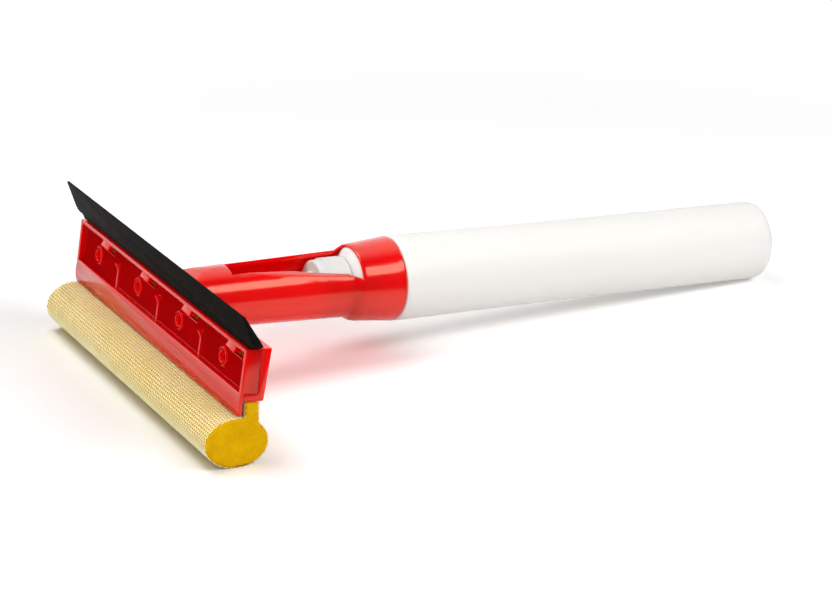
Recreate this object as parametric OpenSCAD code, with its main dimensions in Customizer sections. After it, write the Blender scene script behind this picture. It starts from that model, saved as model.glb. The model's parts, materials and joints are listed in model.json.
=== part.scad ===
// Window scrubber: a squeegee head with a sponge roll, on a handle that is a squeezable bottle.
// The head and the bottle are drawn in the tool's own frame: +X runs along the handle, from the
// head to the bottle's end, +Y runs across the head and +Z points to the rubber blade.
// lie_down() then lays the tool on the floor, on its sponge and on the bottle's end.

/* [Head] */
// Width of the head across the handle
head_w = 200; // [150:1:300]
// Lean of the head against the handle, in degrees
head_tilt = 5; // [0:0.5:12]
// Height of the clamp plate's field, between its shelf and its lip
field_h = 19; // [17:0.5:26]
// Thickness of the clamp plate's walls
plate_t = 1.8; // [1.4:0.1:2.4]
// Depth of the field behind the clamp plate's front edge
field_d = 3; // [2:0.1:5]
// Height of the skirt that hangs over the sponge's neck
skirt_h = 11.4; // [8:0.1:16]
// Thickness of the back plate
back_t = 2.1; // [1.6:0.1:3]
// Depth of the space between the two plates, for the sponge's tab
tab_gap = 5.75; // [5:0.05:8]
// Gap where the two plates meet
plate_gap = 0.15; // [0.05:0.05:0.4]

/* [Pegs and hooks] */
// Number of pegs, each with its hook
stations = 4; // [2:1:4]
// Distance from one peg to the next
station_pitch = 50.4; // [44:0.1:60]
// Offset of the row of pegs from the head's middle
station_shift = 3.4; // [0:0.1:6]
// Outer radius of a peg
peg_r = 4.25; // [3:0.05:5]
// Radius of the hole in a peg
peg_bore_r = 2.6; // [1.5:0.05:2.8]
// Gap round a peg
peg_gap = 0.2; // [0.1:0.05:0.5]
// Width of a hook
hook_w = 9; // [6:0.5:12]
// Thickness of a hook's arm
hook_t = 1.8; // [1.4:0.1:2.4]
// Gap round a hook
hook_gap = 0.4; // [0.2:0.05:0.8]

/* [Rubber blade] */
// Width of the blade's flap
blade_w = 213.6; // [204:0.1:320]
// Height of the flap above the clamp plate's lip
flap_h = 17.4; // [12:0.1:24]
// Reach of the flap in front of the clamp plate
flap_reach = 7.2; // [3:0.1:12]
// Thickness of the flap at its wiping edge
edge_t = 1.1; // [0.8:0.1:2]
// Thickness of the rubber between the plates
root_t = 3; // [2:0.1:3.4]
// Depth of the rubber between the plates
root_h = 6.4; // [6.2:0.1:7.5]

/* [Sponge] */
// How far each end of the sponge lies inside the head's end
sponge_inset = 0.3; // [0:0.1:4]
// Half of the roll's depth, front to back
roll_a = 15.4; // [12:0.1:19]
// Half of the roll's height
roll_b = 11.6; // [10:0.1:16]
// Thickness of the foam at its neck
neck_t = 6.7; // [5:0.1:7]
// Thickness of the net sleeve
net_t = 0.5; // [0.3:0.05:0.8]
// How much the roll is pressed flat where it rests
rest_flat = 0.5; // [0.3:0.05:0.8]

/* [Shank and collar] */
// Radius of the shank where it meets the back plate
shank_r0 = 14.9; // [14:0.1:16]
// Radius of the shank in front of the collar
shank_r1 = 16.7; // [16.4:0.1:18]
// Length of the shank, up to the collar's flare
shank_l = 79; // [70:1:110]
// Wall of the shank
shank_wall = 1.9; // [1.4:0.1:2]
// Length of the flare between the shank and the collar
flare_l = 7.8; // [6:0.1:10]
// Length of the collar behind the flare
collar_l = 18.7; // [16:0.1:30]
// Radius of the collar at its front
collar_r0 = 19.3; // [19.2:0.1:20.5]
// Radius of the collar at its mouth
collar_r1 = 21.1; // [20.6:0.1:22.5]
// Distance from the back plate to the trough's opening
trough_x0 = 17; // [12:1:30]
// Half of the width of the trough's opening
trough_half_w = 7.8; // [6:0.1:9]
// Lean of the thumb cut across the shank, in degrees
thumb_roll = 15.6; // [5:0.1:18]
// Fall of the thumb cut towards the collar, in degrees
thumb_fall = 3.75; // [1:0.05:4.5]

/* [Bottle] */
// Length of the bottle that shows behind the collar
grip_l = 218.5; // [160:0.5:300]
// Radius of the grip at the collar
grip_r0 = 21.2; // [20.6:0.1:24]
// Radius of the grip's straight stretch
grip_r1 = 20.4; // [19.8:0.1:22]
// Length of the straight stretch, up to the rounded base
straight_l = 118; // [60:1:130]
// Radius of the rounded edge at the base
base_round = 4.5; // [3:0.1:8]
// Radius of the end that sits in the collar
insert_r = 17.5; // [16:0.1:17.8]
// Wall of the bottle
bottle_wall = 1.2; // [0.8:0.05:1.6]
// Radial gap between the bottle's end and the collar's bore
fit_gap = 0.08; // [0.03:0.01:0.1]
// Radius of the neck over its thread
neck_r = 11.9; // [11:0.1:12.2]
// Length of the neck
finish_l = 13.6; // [12:0.1:16]
// Length of the shoulder, from the neck to the end that sits in the collar
shoulder_l = 5; // [4:0.1:8]

/* [Cap] */
// Outer radius of the cap
cap_r = 13.5; // [12.9:0.1:14.2]
// Wall thickness of the cap's end
cap_end_t = 1.8; // [1.4:0.1:2.4]
// Radial gap between the cap and the neck's thread
thread_gap = 0.1; // [0.05:0.01:0.1]
// Thickness of the sealing disc
seal_t = 1; // [0.8:0.1:1.6]
// Length of the spout
spout_l = 5.8; // [5:0.1:8]
// Outer radius of the spout
spout_r = 7.6; // [6.5:0.1:9]
// Radial gap between the spout and the tower that it slides on
spout_gap = 0.08; // [0.03:0.01:0.1]

/* [Hidden] */
$fn = 96;
seat = 0.3; // clearance of a piece from what it seats on
lap = 1; // how far two solids of one piece, or a cutter and its piece, run into each other
wide = 2 * collar_r1; // reach of a cutter that runs past the piece

// Depths in the head, measured along X, with the back plate's rear face as the driving plane
back_x = -5.8; // rear face of the back plate at its top
back_taper = 0.9; // how much the rear face comes forward towards the bottom
web_front = back_x - back_t; // front face of the back plate
field_back = web_front - tab_gap; // rear face of the clamp plate's field
field_x = field_back - plate_t; // front face of the field
front_x = field_x - field_d; // front edge of the clamp plate
joint_x = web_front - 3.2; // where the two end walls meet
joint_lean = 1; // how far the meeting edge leans back towards the bottom
ledge_x = front_x + plate_t + plate_gap; // front of the frame's ledge, behind the skirt
end_round = 2; // rounded lower corner of the frame's end wall
skirt_bow = 0.25; // how far the skirt bows forward in its middle
skirt_rake = 0.35; // how far the skirt's lower edge lies back
skirt_corner = 3; // radius of the skirt's lower corners
slope_angle = 24; // slope that brings the shank's end down to the top of the back plate

// Heights in the head, measured along Z
shelf_z = -11.2; // top of the clamp plate's shelf
lip_z = shelf_z + field_h + plate_t; // top of the lip
skirt_z = shelf_z - skirt_h; // lower edge of the skirt
frame_top = lip_z + 0.7;
frame_bottom = shelf_z - 3.6;
peg_z = -3;
end_t = 2; // thickness of the end walls
inner_w = head_w - 2 * end_t; // width between the end walls
tab_w = inner_w - 4 * seat;

// Pegs and hooks: each station has a peg, a hook beside it and a rib behind the hook
peg_tip = field_x - 1;
hook_side = 9.6; // from a peg to the middle of its hook
rib_side = 25.6; // from a peg to its rib
window_top = lip_z - plate_t - 1.6;
arm_top = window_top - hook_gap;
arm_bottom = arm_top - hook_t;
barb_rise = 1.5;
window_bottom = arm_bottom - barb_rise - seat; // the hook bends down this far as it is pushed home
barb_x0 = field_x - 0.15; // catching face of the barb
barb_x1 = barb_x0 - 2.1; // nose of the barb
barb_nose = 0.7; // height of the blunt nose
barb_top = 0.5; // length of the flat on top of the barb
window_extra = 4.5; // extra width of the window, beside the hook
rib_t = 1.4;
rib_top = 1;
rib_rise = 0.8; // how far a rib stands out of the field
gusset_h = 3.2; // height of the gusset at a rib's top
function station_y(i) = station_shift + (i - (stations - 1) / 2) * station_pitch;

// Blade
root_side = 0.25; // clearance of the rubber between the plates
root_front = field_back + root_side;
root_back = root_front + root_t;
root_bottom = lip_z + seat - root_h;
flap_z = lip_z + seat;
tip_z = lip_z + flap_h;
tip_x = front_x - flap_reach;
overhang_z = flap_z + 2.2; // lower edge of the flap where it reaches past the head
flap_corner = 3; // radius of the flap's lower corners
flap_start = 1.4; // from the lip's front edge back to the flap's front face
heel_side = 0.8; // how far the flap's heel lies in front of the root's rear face
heel_h = 0.6; // height of the heel
edge_rise = 0.4; // how much higher the wiping edge is at its rear

// Sponge
sponge_w = head_w - 2 * sponge_inset;
roll_x = -16.8;
roll_z = skirt_z - seat - net_t - roll_b; // the roll lies just under the skirt's edge
front_fillet = 2.4; // how far the neck widens forward into the roll
rear_fillet = 2.6; // how far the neck widens to the rear into the roll
fillet_h = 1.6; // height over the roll where the neck starts to widen
tab_top = root_bottom - seat;
tab_front = field_back + net_t + seat;
tab_back = web_front - net_t - seat;
neck_x = tab_back - neck_t / 2;
neck_lean = 1.2; // how far the neck runs back on its way down to the roll
neck_top = shelf_z - plate_t - seat;
hold_z = frame_bottom - 2 * seat; // below this the sponge is as wide as the head

// Shank
flare_x = shank_l + flare_l;
mouth_x = flare_x + collar_l;
bore_r = insert_r + fit_gap;
bore_x = shank_l + 4;
trough_x1 = flare_x - 3.6;
trough_floor = 8; // height down to which the straight slot cuts
thumb_rise = 1.1; // how far the thumb cut starts over the shank
shank_x0 = back_x + 0.4;
hollow_x0 = 2.5; // front end of the shank's hollow
hollow_x1 = shank_l - 1.5; // where the hollow widens to the collar's bore
mouth_edge = 0.6; // chamfer round the collar's mouth
flare_steps = 4;
function flare_r(t) = shank_r1 + (collar_r0 - shank_r1) * (1 - pow(1 - t, 2.4));

// Bottle, from the neck's mouth to the base
step_x = mouth_x + seat; // face of the step that stops against the collar's mouth
base_x = step_x + grip_l;
insert_x = bore_x + 2;
shoulder_x = insert_x - shoulder_l;
neck_mouth = shoulder_x - finish_l;
bottle_neck_wall = 1.3;
insert_edge = 3; // rounded front edge of the end that sits in the collar
step_edge = 1.2; // rounded edge of the step
push_up = 2.2; // how far the base is pushed in
foot_w = 2.5; // width of the ring that the base stands on

// Cap
face_gap = 0.02; // between faces that press on each other
seal_x = neck_mouth - seal_t - face_gap;
cap_end = seal_x - face_gap;
cap_front = cap_end - cap_end_t;
cap_rim = shoulder_x - 0.4;
cap_step = 4.4; // length of the cap's smaller front part
cap_front_r = cap_r - 0.7;
cap_edge = 0.8; // chamfer of the cap's front edge
cap_step_edge = 0.3; // chamfer of the step in the cap
tower_r = 4.2;
tower_bore = 2.7;
strut_t = 1; // thickness of a strut that carries the pin
strut_l = 1.4; // length of a strut
spout_back = cap_front - 0.15;
spout_rim = spout_r - 0.6; // radius of the rim for the finger
spout_waist = spout_r - 1.8; // radius between the rim and the skirt
spout_tip = spout_back - spout_l;
spout_wall = 1.3;
rim_l = spout_wall + 0.5; // length of the spout's rim
rim_slope = 0.6; // length of the slopes on both sides of the spout's waist
waist_flare = 0.4; // how much the waist widens to the rear
tower_tip = spout_tip + spout_wall + 0.9;
pin_r = 1.15;
pin_tip = spout_tip + 0.7;
orifice_r = pin_r + spout_gap;

// Lying on the floor: the roll and the base's rounded edge touch it, so their common tangent is level
base_in = base_x - base_round; // centre of the rounded edge
base_low = base_round - grip_r1;
roll_mid = [
    roll_x * cos(head_tilt) + roll_z * sin(head_tilt),
    -roll_x * sin(head_tilt) + roll_z * cos(head_tilt)
];
span = norm([base_in - roll_mid[0], base_low - roll_mid[1]]);
span_angle = atan2(base_in - roll_mid[0], base_low - roll_mid[1]);
net_a = roll_a + net_t;
net_b = roll_b + net_t;
function reach(angle) = norm([net_a * sin(angle), net_b * cos(angle)]);
function lie(angle, steps) = steps == 0
    ? angle
    : lie(acos((base_round - reach(head_tilt + angle) + rest_flat) / span) - span_angle, steps - 1);
lie_angle = lie(4, 6);
lift = reach(head_tilt + lie_angle) - rest_flat + roll_mid[0] * sin(lie_angle) - roll_mid[1] * cos(lie_angle);
front_edge = roll_mid[0] * cos(lie_angle) + roll_mid[1] * sin(lie_angle)
    - norm([net_a * cos(head_tilt + lie_angle), net_b * sin(head_tilt + lie_angle)]);
rear_edge = base_in * cos(lie_angle) - base_low * sin(lie_angle) + base_round;
origin_shift = -(front_edge + rear_edge) / 2;

module lie_down() {
    translate([origin_shift, 0, lift])
        rotate([0, lie_angle, 0])
            children();
}

module in_head() {
    rotate([0, head_tilt, 0])
        children();
}

// A flat outline in X and Z, drawn out across the head, with its middle at y
module across(w, y = 0) {
    translate([0, y, 0])
        rotate([90, 0, 0])
            linear_extrude(height = w, center = true)
                children();
}

// A turned shape about the handle's axis, from points of radius and X
module turned(points) {
    rotate([0, 90, 0])
        rotate_extrude()
            polygon(points);
}

// A straight round bar along X
module bar(x0, x1, r) {
    translate([x0, 0, 0])
        rotate([0, 90, 0])
            cylinder(h = x1 - x0, r = r);
}

// A box from its two corners
module block(low, high) {
    translate(low)
        cube(high - low);
}

// Points of an arc round (cx, cy), from angle a0 to a1 in n steps
function arc(cx, cy, r, a0, a1, n) = [
    for (i = [0:n])
        let (a = a0 + (a1 - a0) * i / n)
            [cx + r * cos(a), cy + r * sin(a)]
];

// Points of a curve from start to end that is drawn towards corner
function bend(start, corner, end, n) = [
    for (i = [0:n])
        let (t = i / n)
            start * pow(1 - t, 2) + corner * 2 * t * (1 - t) + end * pow(t, 2)
];

// Cutter that rounds both lower corners of a wide piece whose lower edge lies at z
module lower_corners(w, z, r) {
    for (side = [0, 1])
        mirror([0, side, 0])
            translate([0, w / 2 - r, z + r])
                difference() {
                    block([-wide, 0, -r - lap], [wide, r + lap, 0]);
                    bar(-wide - lap, wide + lap, r);
                }
}

// Rear face of the back plate at height z
function rear_x(z) = back_x - back_taper * (frame_top - z) / (frame_top - frame_bottom);

// Head frame: the back plate with its end walls, pegs and hooks, the shank and the collar

module back_plate() {
    corner = 1;
    rim_h = 2;
    across(head_w)
        polygon(concat(
            [[web_front, frame_bottom], [web_front, frame_top], [back_x, frame_top]],
            arc(rear_x(frame_bottom) - corner, frame_bottom + corner, corner, 0, -90, 5)
        ));
    across(head_w) // top rim, against the rubber
        polygon([
            [root_back + root_side, frame_top - rim_h],
            [root_back + root_side, frame_top],
            [back_x, frame_top],
            [rear_x(frame_top - rim_h), frame_top - rim_h]
        ]);
}

// An end wall runs forward under the clamp plate's end wall, in an L
module frame_end_wall() {
    across(end_t)
        polygon(concat(
            [
                [ledge_x, frame_bottom],
                [ledge_x, shelf_z - plate_gap],
                [joint_x + joint_lean + plate_gap, shelf_z - plate_gap],
                [joint_x + plate_gap, lip_z],
                [joint_x + plate_gap, frame_top],
                [back_x, frame_top]
            ],
            arc(rear_x(frame_bottom) - end_round, frame_bottom + end_round, end_round, 0, -90, 5)
        ));
}

module peg(y) {
    translate([0, y, peg_z])
        bar(peg_tip, web_front + lap, peg_r);
}

module peg_bore(y) {
    translate([0, y, peg_z])
        bar(peg_tip - lap, web_front, peg_bore_r);
}

module hook(y) {
    across(hook_w, y)
        polygon([
            [web_front + lap, arm_bottom],
            [barb_x1, arm_bottom],
            [barb_x1, arm_bottom + barb_nose],
            [barb_x0 - barb_top, arm_top + barb_rise],
            [barb_x0, arm_top + barb_rise],
            [barb_x0, arm_top],
            [web_front + lap, arm_top]
        ]);
}

module shank_outside() {
    turned(concat(
        [[0, shank_x0], [shank_r0, shank_x0], [shank_r0, 0]],
        [for (i = [0:flare_steps]) [flare_r(i / flare_steps), shank_l + flare_l * i / flare_steps]],
        [[collar_r1, mouth_x - mouth_edge], [collar_r1 - mouth_edge, mouth_x], [0, mouth_x]]
    ));
}

module shank_inside() {
    turned([
        [0, hollow_x0],
        [shank_r0 - shank_wall, hollow_x0],
        [shank_r1 - shank_wall, hollow_x1],
        [bore_r, bore_x],
        [bore_r, mouth_x + lap],
        [0, mouth_x + lap]
    ]);
}

// The trough's opening: a straight slot on top, and a slanting cut on the near side for a thumb
module trough_opening() {
    rim = [trough_x0, -trough_half_w, sqrt(pow(shank_r0 + thumb_rise, 2) - pow(trough_half_w, 2))];
    block([trough_x0, -trough_half_w, trough_floor], [trough_x1, trough_half_w, collar_r1 + lap]);
    intersection() {
        translate(rim)
            rotate([thumb_roll, thumb_fall, 0])
                block([-wide, -wide, 0], [2 * flare_x, wide, wide]);
        block([trough_x0, -collar_r1 - lap, -shank_r0], [trough_x1, trough_half_w, 2 * collar_r1]);
    }
}

module head_frame() {
    color([0.86, 0.05, 0.07])
        lie_down()
            difference() {
                union() {
                    in_head() {
                        back_plate();
                        for (side = [-1, 1])
                            translate([0, side * (head_w - end_t) / 2, 0])
                                frame_end_wall();
                        for (i = [0:stations - 1]) {
                            peg(station_y(i));
                            hook(station_y(i) - hook_side);
                        }
                    }
                    shank_outside();
                }
                shank_inside();
                trough_opening();
                for (i = [0:stations - 1])
                    in_head()
                        peg_bore(station_y(i));
                in_head() // slopes the shank's end down to the top of the back plate
                    translate([web_front, 0, frame_top])
                        rotate([0, -slope_angle, 0])
                            block([-wide / 2, -collar_r1, 0], [wide / 2, collar_r1, wide / 2]);
            }
}

// Clamp plate: the field with its windows, ribs and peg holes, the lip, the end walls and the skirt

module clamp_outline() {
    bow_x = front_x - skirt_bow;
    bow_z = (shelf_z + skirt_z) / 2;
    edge_x = front_x + skirt_rake;
    polygon([
        [front_x, shelf_z],
        [bow_x, bow_z],
        [edge_x, skirt_z],
        [edge_x + plate_t, skirt_z],
        [bow_x + plate_t, bow_z],
        [front_x + plate_t, shelf_z - plate_t],
        [field_back, shelf_z - plate_t],
        [field_back, lip_z],
        [front_x, lip_z],
        [front_x, lip_z - plate_t],
        [field_x, lip_z - plate_t],
        [field_x, shelf_z]
    ]);
}

module clamp_end_wall() {
    across(end_t)
        polygon([
            [front_x, shelf_z],
            [front_x, lip_z],
            [joint_x, lip_z],
            [joint_x + joint_lean, shelf_z]
        ]);
}

// A low rib on the field, with a small gusset at its top
module field_rib(y) {
    across(rib_t, y)
        polygon([
            [field_x + plate_t / 2, rib_top],
            [front_x + skirt_rake, rib_top],
            [field_x - rib_rise, rib_top - gusset_h],
            [field_x - rib_rise, shelf_z - plate_t / 2],
            [field_x + plate_t / 2, shelf_z - plate_t / 2]
        ]);
}

module clamp_plate() {
    color([0.80, 0.03, 0.06])
        lie_down()
            in_head()
                difference() {
                    union() {
                        across(head_w)
                            clamp_outline();
                        for (side = [-1, 1])
                            translate([0, side * (head_w - end_t) / 2, 0])
                                clamp_end_wall();
                        for (i = [0:stations - 1])
                            if (station_y(i) - rib_side > -inner_w / 2 + rib_t)
                                field_rib(station_y(i) - rib_side);
                    }
                    lower_corners(head_w, skirt_z, skirt_corner);
                    for (side = [-1, 1]) // room for the frame's ledge under each end wall
                        translate([0, side * (head_w - end_t) / 2, 0])
                            block(
                                [ledge_x - plate_gap, -end_t / 2 - plate_gap, frame_bottom],
                                [joint_x, end_t / 2 + plate_gap, shelf_z]
                            );
                    for (i = [0:stations - 1]) {
                        translate([0, station_y(i), peg_z])
                            bar(field_x - lap, field_back + lap, peg_r + peg_gap);
                        block(
                            [
                                field_x - plate_gap,
                                station_y(i) - hook_side - hook_w / 2 - window_extra,
                                window_bottom
                            ],
                            [field_back + lap, station_y(i) - hook_side + hook_w / 2 + hook_gap, window_top]
                        );
                    }
                }
}

// Rubber blade: a flap that leans forward over the lip, and a root notched for the hooks

module rubber_blade() {
    flap_x = front_x + flap_start;
    heel_x = root_back - heel_side;
    heel_z = flap_z + heel_h;
    edge_z = tip_z + edge_rise;
    function front_at(z) = flap_x + (tip_x - flap_x) * (z - flap_z) / (tip_z - flap_z);
    function back_at(z) = heel_x + (tip_x + edge_t - heel_x) * (z - heel_z) / (edge_z - heel_z);
    color([0.07, 0.08, 0.08])
        lie_down()
            in_head()
                difference() {
                    union() {
                        across(blade_w)
                            polygon([
                                [front_at(overhang_z), overhang_z],
                                [tip_x, tip_z],
                                [tip_x + edge_t, edge_z],
                                [back_at(overhang_z), overhang_z]
                            ]);
                        across(head_w - 1)
                            polygon([
                                [front_at(flap_z), flap_z],
                                [front_at(overhang_z + lap), overhang_z + lap],
                                [back_at(overhang_z + lap), overhang_z + lap],
                                [heel_x, heel_z],
                                [heel_x, flap_z]
                            ]);
                        across(tab_w)
                            polygon([
                                [root_front, root_bottom],
                                [root_front, heel_z],
                                [heel_x, heel_z],
                                [root_back, frame_top],
                                [root_back, root_bottom]
                            ]);
                    }
                    lower_corners(blade_w, overhang_z, flap_corner);
                    for (i = [0:stations - 1])
                        block(
                            [
                                root_front - lap,
                                station_y(i) - hook_side - hook_w / 2 - hook_gap,
                                root_bottom - lap
                            ],
                            [
                                root_back + lap,
                                station_y(i) - hook_side + hook_w / 2 + hook_gap,
                                arm_top + hook_gap
                            ]
                        );
                }
}

// Sponge and net: one keyhole outline, a roll with a neck, drawn with a skin of thickness skin

function roll_point(angle, skin) = [
    roll_x + (roll_a + skin) * cos(angle),
    roll_z + (roll_b + skin) * sin(angle)
];

// Height of the roll's upper side at x
function roll_top(x, skin) =
    roll_z + (roll_b + skin) * sqrt(1 - pow((x - roll_x) / (roll_a + skin), 2));

module roll_outline(skin) {
    sides = 60;
    steps = 6;
    top = neck_top - net_t + skin;
    front = neck_x - neck_t / 2 - skin;
    rear = neck_x + neck_t / 2 + skin;
    front_foot = front + neck_lean;
    rear_foot = rear + neck_lean;
    front_end = front_foot - front_fillet;
    rear_end = rear_foot + rear_fillet;
    polygon([for (i = [0:sides - 1]) roll_point(i * 360 / sides, skin)]);
    polygon(concat(
        [[front, top], [rear, top]],
        bend(
            [rear_foot, roll_top(rear_foot, skin) + fillet_h],
            [rear_foot, roll_top(rear_foot, skin)],
            [rear_end, roll_top(rear_end, skin)],
            steps
        ),
        [[roll_x, roll_z]],
        bend(
            [front_end, roll_top(front_end, skin)],
            [front_foot, roll_top(front_foot, skin)],
            [front_foot, roll_top(front_foot, skin) + fillet_h],
            steps
        )
    ));
}

module tab_outline(skin) {
    top = tab_top - net_t + skin;
    polygon([
        [tab_front - skin, neck_top - plate_t],
        [tab_front - skin, top],
        [tab_back + skin, top],
        [tab_back + skin, neck_top - plate_t]
    ]);
}

module floor_cut(height) {
    far = head_w + blade_w;
    block([-far, -far, -wide], [far, far, height]);
}

module peg_passages() {
    in_head()
        for (i = [0:stations - 1])
            translate([0, station_y(i), peg_z])
                bar(field_back - lap, web_front + lap, peg_r + peg_gap);
}

// Room over the tab in which the hooks bend down
module hook_passages() {
    in_head()
        for (i = [0:stations - 1])
            block(
                [
                    field_back - lap,
                    station_y(i) - hook_side - hook_w / 2 - window_extra,
                    window_bottom - seat
                ],
                [
                    web_front + lap,
                    station_y(i) - hook_side + hook_w / 2 + hook_gap,
                    tab_top + lap
                ]
            );
}

module below_hold() {
    intersection() {
        children();
        translate([-2 * wide, hold_z - 4 * wide])
            square(4 * wide);
    }
}

module above_hold() {
    intersection() {
        children();
        translate([-2 * wide, hold_z])
            square(4 * wide);
    }
}

module padding(skin, w) {
    in_head() {
        across(w)
            below_hold()
                roll_outline(skin);
        across(tab_w)
            above_hold()
                union() {
                    roll_outline(skin);
                    tab_outline(skin);
                }
    }
}

module sponge() {
    color([0.96, 0.80, 0.10])
        difference() {
            lie_down()
                difference() {
                    padding(0, sponge_w);
                    peg_passages();
                    hook_passages();
                }
            floor_cut(net_t);
        }
}

module sponge_net() {
    net_w = sponge_w - 0.8;
    color([0.97, 0.90, 0.62])
        difference() {
            lie_down()
                difference() {
                    padding(net_t, net_w);
                    padding(0, sponge_w + lap);
                    peg_passages();
                    hook_passages();
                }
            floor_cut(0);
        }
}

// Bottle: blown in one piece, with the wall set off from one outline

function bottle_outline(skin) = concat(
    [
        [neck_r - skin, neck_mouth],
        [neck_r - skin, shoulder_x]
    ],
    arc(insert_r - insert_edge - skin, insert_x + skin, insert_edge, -70, 0, 6),
    [[insert_r - skin, step_x + skin]],
    arc(grip_r0 - step_edge - skin, step_x + step_edge + skin, step_edge, -90, 0, 4),
    [
        [grip_r1 - skin, base_x - base_round - straight_l],
        [grip_r1 - skin, base_in]
    ],
    arc(grip_r1 - base_round, base_in, base_round - skin, 0, 90, 8)
);

module bottle() {
    foot_r = grip_r1 - base_round - foot_w;
    color([0.93, 0.93, 0.90])
        lie_down()
            difference() {
                turned(concat(
                    [[0, neck_mouth]],
                    bottle_outline(0),
                    [[foot_r, base_x - push_up / 2], [0, base_x - push_up]]
                ));
                turned(concat(
                    [[0, neck_mouth - lap], [neck_r - bottle_neck_wall, neck_mouth - lap]],
                    [[neck_r - bottle_neck_wall, shoulder_x + bottle_wall / 2]],
                    [for (p = bottle_outline(bottle_wall)) if (p[1] > shoulder_x + bottle_wall) p],
                    [
                        [foot_r, base_x - push_up / 2 - bottle_wall],
                        [0, base_x - push_up - bottle_wall]
                    ]
                ));
            }
}

// Cap: screws over the neck, with a tower for the spout and a pin that closes the spout's hole

module cap_body() {
    difference() {
        union() {
            turned([
                [0, cap_front],
                [cap_front_r - cap_edge, cap_front],
                [cap_front_r, cap_front + cap_edge],
                [cap_front_r, cap_front + cap_step],
                [cap_r - cap_step_edge, cap_front + cap_step],
                [cap_r, cap_front + cap_step + cap_step_edge],
                [cap_r, cap_rim],
                [0, cap_rim]
            ]);
            bar(tower_tip, cap_front + lap, tower_r);
        }
        bar(cap_end, cap_rim + lap, neck_r + thread_gap);
        bar(tower_tip - lap, cap_end + lap, tower_bore);
    }
}

// The pin stands in the tower on three struts, and the product flows between them
module closing_pin() {
    bar(pin_tip, cap_end - strut_l / 2, pin_r);
    for (turn = [0, 120, 240])
        rotate([turn, 0, 0])
            block([cap_end - strut_l, -strut_t / 2, 0], [cap_end, strut_t / 2, tower_bore + lap / 2]);
}

module cap() {
    color([0.95, 0.95, 0.93])
        lie_down() {
            cap_body();
            closing_pin();
        }
}

module cap_seal() {
    color([0.90, 0.90, 0.86])
        lie_down()
            difference() {
                bar(seal_x, seal_x + seal_t, neck_r - thread_gap);
                bar(seal_x - lap, seal_x + seal_t + lap, tower_bore);
            }
}

// Spout: slides on the tower, with a rim for the finger and a hole that the pin closes

module spout() {
    bore = tower_r + spout_gap;
    color([0.96, 0.93, 0.82])
        lie_down()
            difference() {
                turned([
                    [0, spout_tip],
                    [spout_rim - cap_edge, spout_tip],
                    [spout_rim, spout_tip + cap_edge],
                    [spout_rim, spout_tip + rim_l],
                    [spout_waist, spout_tip + rim_l + rim_slope],
                    [spout_waist + waist_flare, spout_back - 2 * rim_slope],
                    [spout_r, spout_back - rim_slope],
                    [spout_r, spout_back],
                    [0, spout_back]
                ]);
                bar(spout_tip + spout_wall, spout_back + lap, bore);
                bar(spout_tip - lap, spout_back, orifice_r);
            }
}

head_frame();
clamp_plate();
rubber_blade();
sponge();
sponge_net();
bottle();
cap();
cap_seal();
spout();
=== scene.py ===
import json
import math

import bmesh
import bpy
import numpy as np
from mathutils import Matrix, Vector, noise

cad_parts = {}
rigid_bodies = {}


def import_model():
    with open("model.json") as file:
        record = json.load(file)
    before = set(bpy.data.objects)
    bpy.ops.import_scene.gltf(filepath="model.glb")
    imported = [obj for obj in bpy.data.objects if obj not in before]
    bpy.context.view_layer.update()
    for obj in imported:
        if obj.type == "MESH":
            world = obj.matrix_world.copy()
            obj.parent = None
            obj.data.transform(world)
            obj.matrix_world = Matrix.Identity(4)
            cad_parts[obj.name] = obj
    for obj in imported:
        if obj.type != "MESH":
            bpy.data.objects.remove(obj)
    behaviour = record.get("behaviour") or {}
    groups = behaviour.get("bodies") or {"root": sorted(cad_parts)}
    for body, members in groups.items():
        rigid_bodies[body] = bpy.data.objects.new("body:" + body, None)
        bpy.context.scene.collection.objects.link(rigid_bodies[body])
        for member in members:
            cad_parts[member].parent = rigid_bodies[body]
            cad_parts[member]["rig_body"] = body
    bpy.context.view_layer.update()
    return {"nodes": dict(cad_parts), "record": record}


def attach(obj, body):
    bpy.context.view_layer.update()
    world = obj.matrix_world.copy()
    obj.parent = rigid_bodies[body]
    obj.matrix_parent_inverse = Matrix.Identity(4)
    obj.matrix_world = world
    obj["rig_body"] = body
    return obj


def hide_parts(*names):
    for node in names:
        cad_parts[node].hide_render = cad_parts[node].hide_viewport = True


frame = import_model()
print("CAD frame loaded")

# The tool lies tipped on the floor. Its own frame has X along the handle, from the head to the base

toolPlace = {"gripMiddle": 0.2608, "headLean": 5.0}

gripMount = next(m for m in frame["record"]["mounts"] if m["name"] == "bottle_grip")
gripAxis = Vector(gripMount["axis"]).normalized()
toolOrigin = Vector(gripMount["pos_m"]) - gripAxis * toolPlace["gripMiddle"]
toolFrame = Matrix.Translation(toolOrigin) @ Matrix.Rotation(math.asin(-gripAxis.z), 4, "Y")
headFrame = toolFrame @ Matrix.Rotation(math.radians(toolPlace["headLean"]), 4, "Y")

# Camera

view = {
    "azimuth": -27.77,
    "elevation": 20.96,
    "distance": 1.3817,
    "target": (-0.0224, 0.0, 0.02125),
    "focalPixels": 2766.2,
    "pictureWidth": 832,
    "sensorWidth": 36.0,
    "clipStart": 0.05,
}


def makeCamera():
    azimuth = math.radians(view["azimuth"])
    elevation = math.radians(view["elevation"])
    back = Vector((
        math.sin(azimuth) * math.cos(elevation),
        -math.cos(azimuth) * math.cos(elevation),
        math.sin(elevation),
    ))
    data = bpy.data.cameras.new("viewCamera")
    data.sensor_width = view["sensorWidth"]
    data.lens = view["focalPixels"] * view["sensorWidth"] / view["pictureWidth"]
    data.clip_start = view["clipStart"]
    camera = bpy.data.objects.new("viewCamera", data)
    bpy.context.scene.collection.objects.link(camera)
    camera.location = Vector(view["target"]) + back * view["distance"]
    camera.rotation_euler = back.to_track_quat("Z", "Y").to_euler()
    bpy.context.scene.camera = camera


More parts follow.
